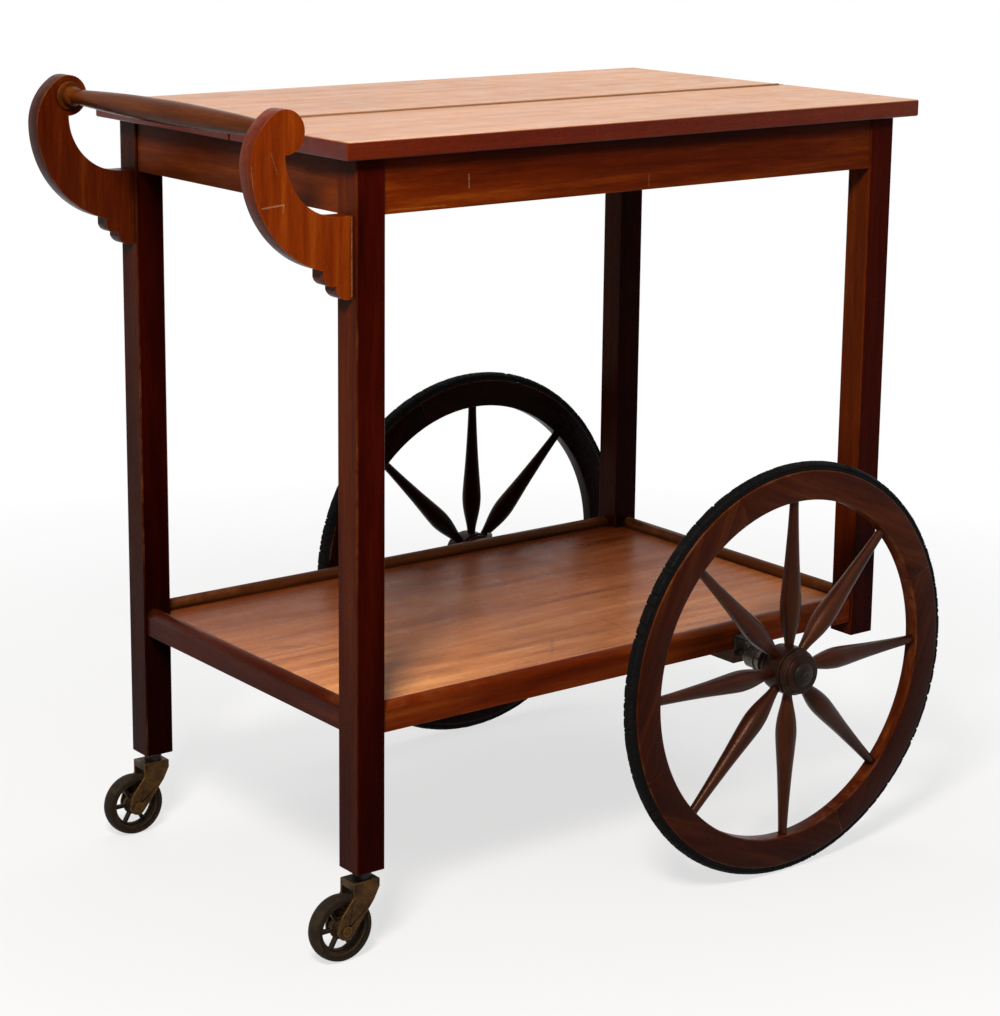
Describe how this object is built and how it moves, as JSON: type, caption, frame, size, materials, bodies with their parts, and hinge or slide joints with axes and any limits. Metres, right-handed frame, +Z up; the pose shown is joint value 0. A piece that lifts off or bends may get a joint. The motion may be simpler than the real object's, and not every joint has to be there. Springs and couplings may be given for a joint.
{
  "type": "tea trolley",
  "caption": "Wooden tea trolley with a folding top leaf, a lower shelf, a turned push rail on scrolled brackets, large spoked wheels and swivel casters.",
  "frame": {"origin": "on the floor, under the centre of the trolley's overall box", "axes": "+X runs from the push rail towards the large wheels, -Y is the side with the folding leaf, +Z is up"},
  "size_m": [0.7688, 0.5652, 0.7711],
  "materials": {
    "top_wood": "worn French-polished mahogany, pale in the light, with fine lengthwise grain",
    "leg_wood": "dark red mahogany, satin polish",
    "apron_wood": "red-brown mahogany, satin polish",
    "shelf_rail_wood": "red-brown mahogany, satin polish",
    "shelf_wood": "warm tan mahogany with lengthwise grain and darker smudges",
    "inner_wood": "plain unpolished wood",
    "axle_beam_wood": "dark stained wood",
    "handle_wood": "orange-brown mahogany with fine upright grain and worn edges",
    "rim_wood": "dark brown stained wood",
    "spoke_wood": "dark brown stained turned wood",
    "hub_wood": "nearly black turned wood",
    "tyre_rubber": "old black rubber with fine cracks",
    "hub_cap_metal": "darkened metal",
    "bush_iron": "plain iron",
    "axle_steel": "dull steel with a brown patina",
    "hanger_iron": "dark iron",
    "hinge_brass": "tarnished brass",
    "caster_brass": "aged brass",
    "caster_steel": "blackened steel",
    "caster_wheel_dark": "dark metal wheel",
    "caster_tread_dark": "dark hard tread"
  },
  "bodies": {
    "frame": {"leg_handle_near": "leg_wood", "leg_handle_far": "leg_wood", "leg_wheel_near": "leg_wood", "leg_wheel_far": "leg_wood", "apron_near": "apron_wood", "shelf_rail_near": "shelf_rail_wood", "apron_far": "apron_wood", "shelf_rail_far": "shelf_rail_wood", "apron_handle_end": "apron_wood", "shelf_rail_handle_end": "shelf_rail_wood", "apron_wheel_end": "apron_wood", "shelf_rail_wheel_end": "shelf_rail_wood", "center_bearer": "inner_wood", "glue_blocks": "inner_wood", "shelf_panel": "shelf_wood", "top_board": "top_wood", "hinge_plate_fixed": "hinge_brass", "hinge_screws_fixed": "hinge_brass", "hinge_pin": "hinge_brass", "bracket_dowels": "inner_wood", "handle_rail": "handle_wood", "axle": "axle_steel", "axle_beam": "axle_beam_wood", "axle_washers": "axle_steel", "axle_nuts": "axle_steel", "eye_bolts": "axle_steel", "hanger_plates": "hanger_iron", "hanger_nuts": "axle_steel", "caster_sockets": "caster_steel", "handle_bracket_near": "handle_wood", "axle_spacer_near": "axle_steel", "handle_bracket_far": "handle_wood", "axle_spacer_far": "axle_steel"},
    "leaf": {"top_leaf": "top_wood", "hinge_plate_leaf": "hinge_brass", "hinge_screws_leaf": "hinge_brass"},
    "near_wheel": {"wheel_hub_near": "hub_wood", "wheel_bush_near": "bush_iron", "wheel_spokes_near": "spoke_wood", "wheel_rim_near": "rim_wood", "wheel_tyre_near": "tyre_rubber", "hub_cap_near": "hub_cap_metal"},
    "near_caster": {"caster_fork_near": "caster_brass", "caster_stem_near": "caster_steel", "caster_collar_near": "caster_steel", "caster_pin_near": "caster_brass"},
    "near_caster_wheel": {"caster_wheel_near": "caster_wheel_dark", "caster_tread_near": "caster_tread_dark"},
    "far_wheel": {"wheel_hub_far": "hub_wood", "wheel_bush_far": "bush_iron", "wheel_spokes_far": "spoke_wood", "wheel_rim_far": "rim_wood", "wheel_tyre_far": "tyre_rubber", "hub_cap_far": "hub_cap_metal"},
    "far_caster": {"caster_fork_far": "caster_brass", "caster_stem_far": "caster_steel", "caster_collar_far": "caster_steel", "caster_pin_far": "caster_brass"},
    "far_caster_wheel": {"caster_wheel_far": "caster_wheel_dark", "caster_tread_far": "caster_tread_dark"}
  },
  "joints": [
    {"name": "leaf_hinge", "type": "hinge", "parent": "frame", "child": "leaf", "pos_m": [0, -0.01225, 0.7422], "axis": [-1, 0, 0], "range_deg": [0, 180]},
    {"name": "near_caster_swivel", "type": "hinge", "parent": "frame", "child": "near_caster", "pos_m": [-0.2687, -0.17725, 0.074], "axis": [0, 0, 1], "continuous": true},
    {"name": "near_caster_roll", "type": "hinge", "parent": "near_caster", "child": "near_caster_wheel", "pos_m": [-0.2927, -0.17725, 0.031], "axis": [0, 1, 0], "continuous": true},
    {"name": "near_wheel_roll", "type": "hinge", "parent": "frame", "child": "near_wheel", "pos_m": [0.1779, -0.25625, 0.2065], "axis": [0, 1, 0], "continuous": true},
    {"name": "far_caster_swivel", "type": "hinge", "parent": "frame", "child": "far_caster", "pos_m": [-0.2687, 0.19825, 0.074], "axis": [0, 0, 1], "continuous": true},
    {"name": "far_caster_roll", "type": "hinge", "parent": "far_caster", "child": "far_caster_wheel", "pos_m": [-0.2927, 0.19825, 0.031], "axis": [0, 1, 0], "continuous": true},
    {"name": "far_wheel_roll", "type": "hinge", "parent": "frame", "child": "far_wheel", "pos_m": [0.1779, 0.25625, 0.2065], "axis": [0, 1, 0], "continuous": true}
  ]
}
